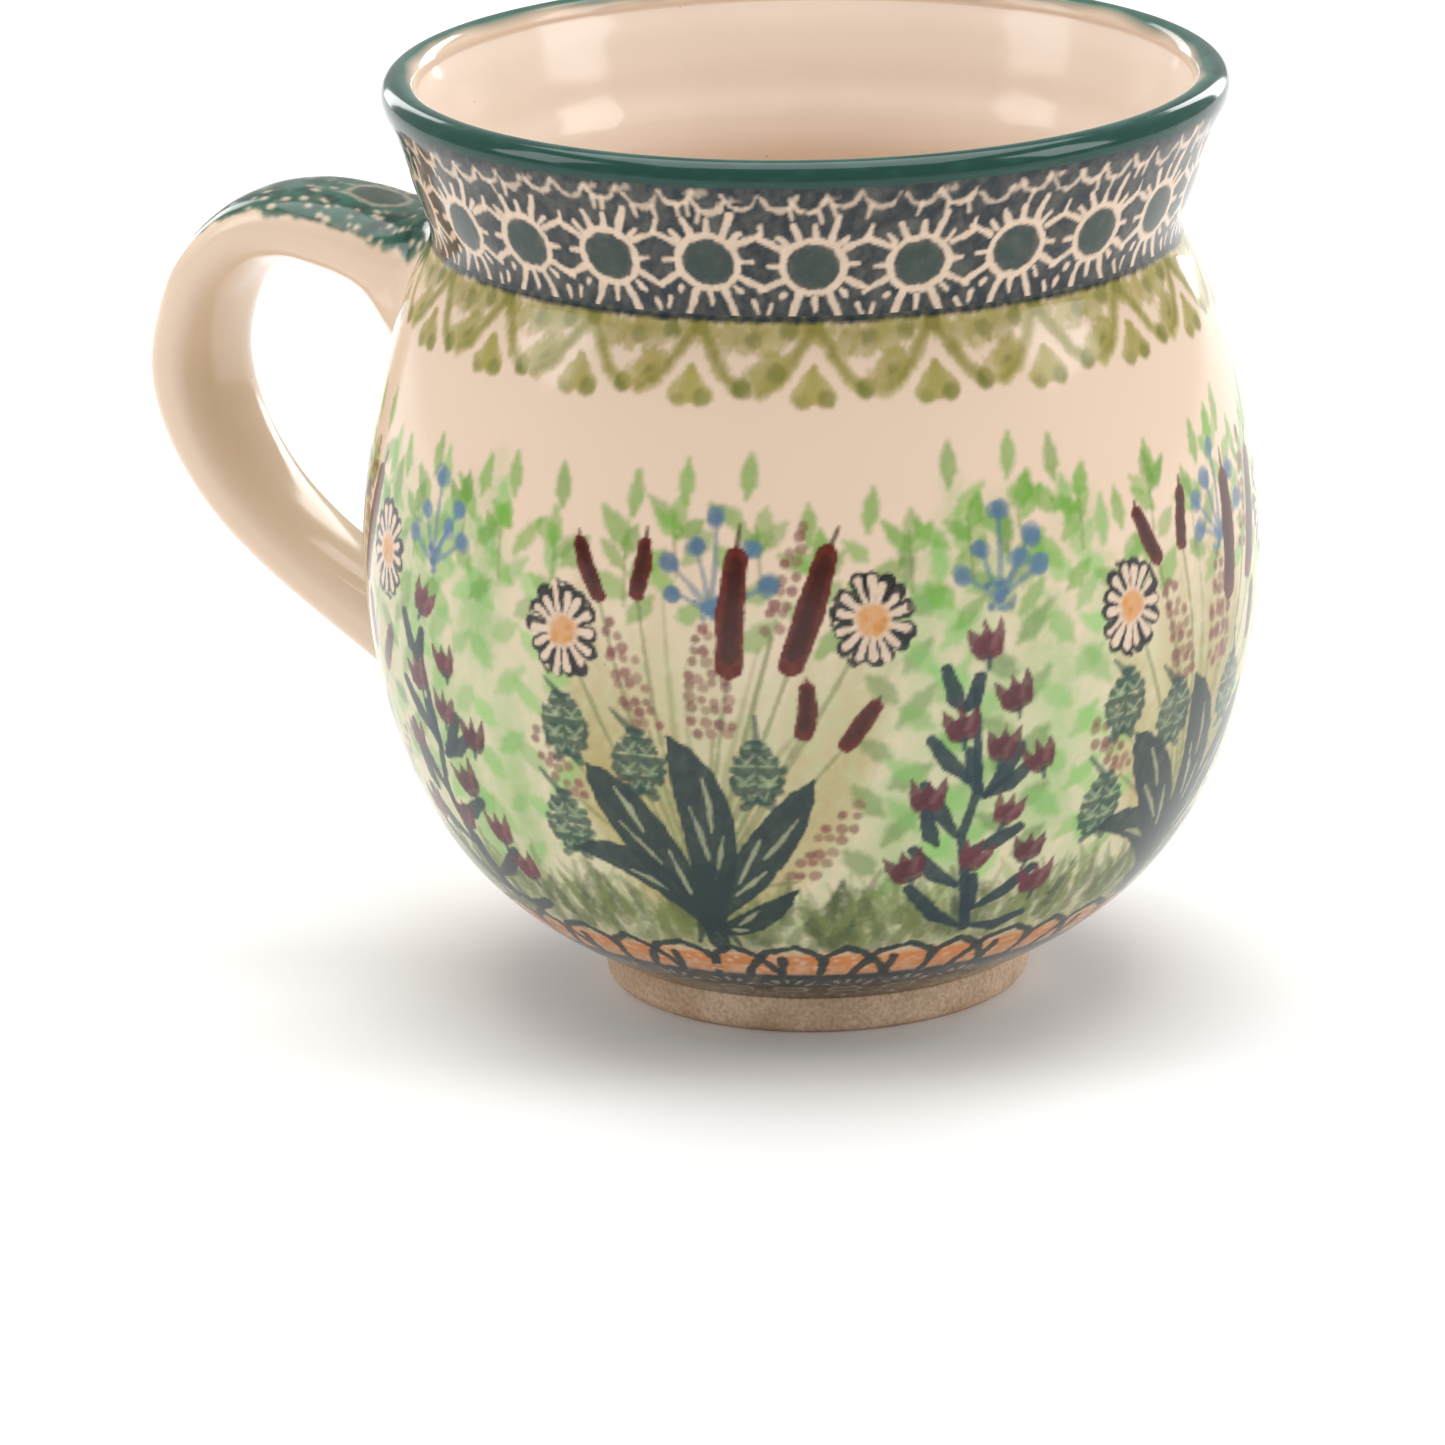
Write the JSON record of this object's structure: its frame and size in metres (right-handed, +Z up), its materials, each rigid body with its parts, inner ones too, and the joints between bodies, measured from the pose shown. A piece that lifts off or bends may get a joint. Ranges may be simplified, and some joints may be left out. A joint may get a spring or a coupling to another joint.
{
  "type": "stoneware mug",
  "caption": "Round-bellied stoneware mug with a flared neck, a glazed lip, a turned foot ring and a pulled strap handle at one side.",
  "frame": {"origin": "on the cup's own axis, in the plane that the foot ring stands on", "axes": "+Z up along the cup's axis, -X towards the handle, Y across the mug"},
  "size_m": [0.1259, 0.096, 0.1],
  "materials": {
    "biscuit_stoneware": "biscuit fired, matt, hidden under the glaze",
    "foot_clay": "turned and sponged stoneware, thinly glazed on the side, bare where it stands",
    "luting_slip": "fired slip, matt",
    "clear_glaze": "clear gloss glaze over stamped and painted underglaze colours on a cream body",
    "lip_glaze": "bottle-green gloss glaze",
    "liner_glaze": "clear gloss glaze over the cream body"
  },
  "bodies": {
    "root": {"cup_body": "biscuit_stoneware", "foot_ring": "foot_clay", "handle": "biscuit_stoneware", "upper_slip": "luting_slip", "lower_slip": "luting_slip", "outer_glaze": "clear_glaze", "lip_glaze": "lip_glaze", "liner_glaze": "liner_glaze", "handle_glaze": "clear_glaze", "base_glaze": "liner_glaze"}
  },
  "joints": []
}
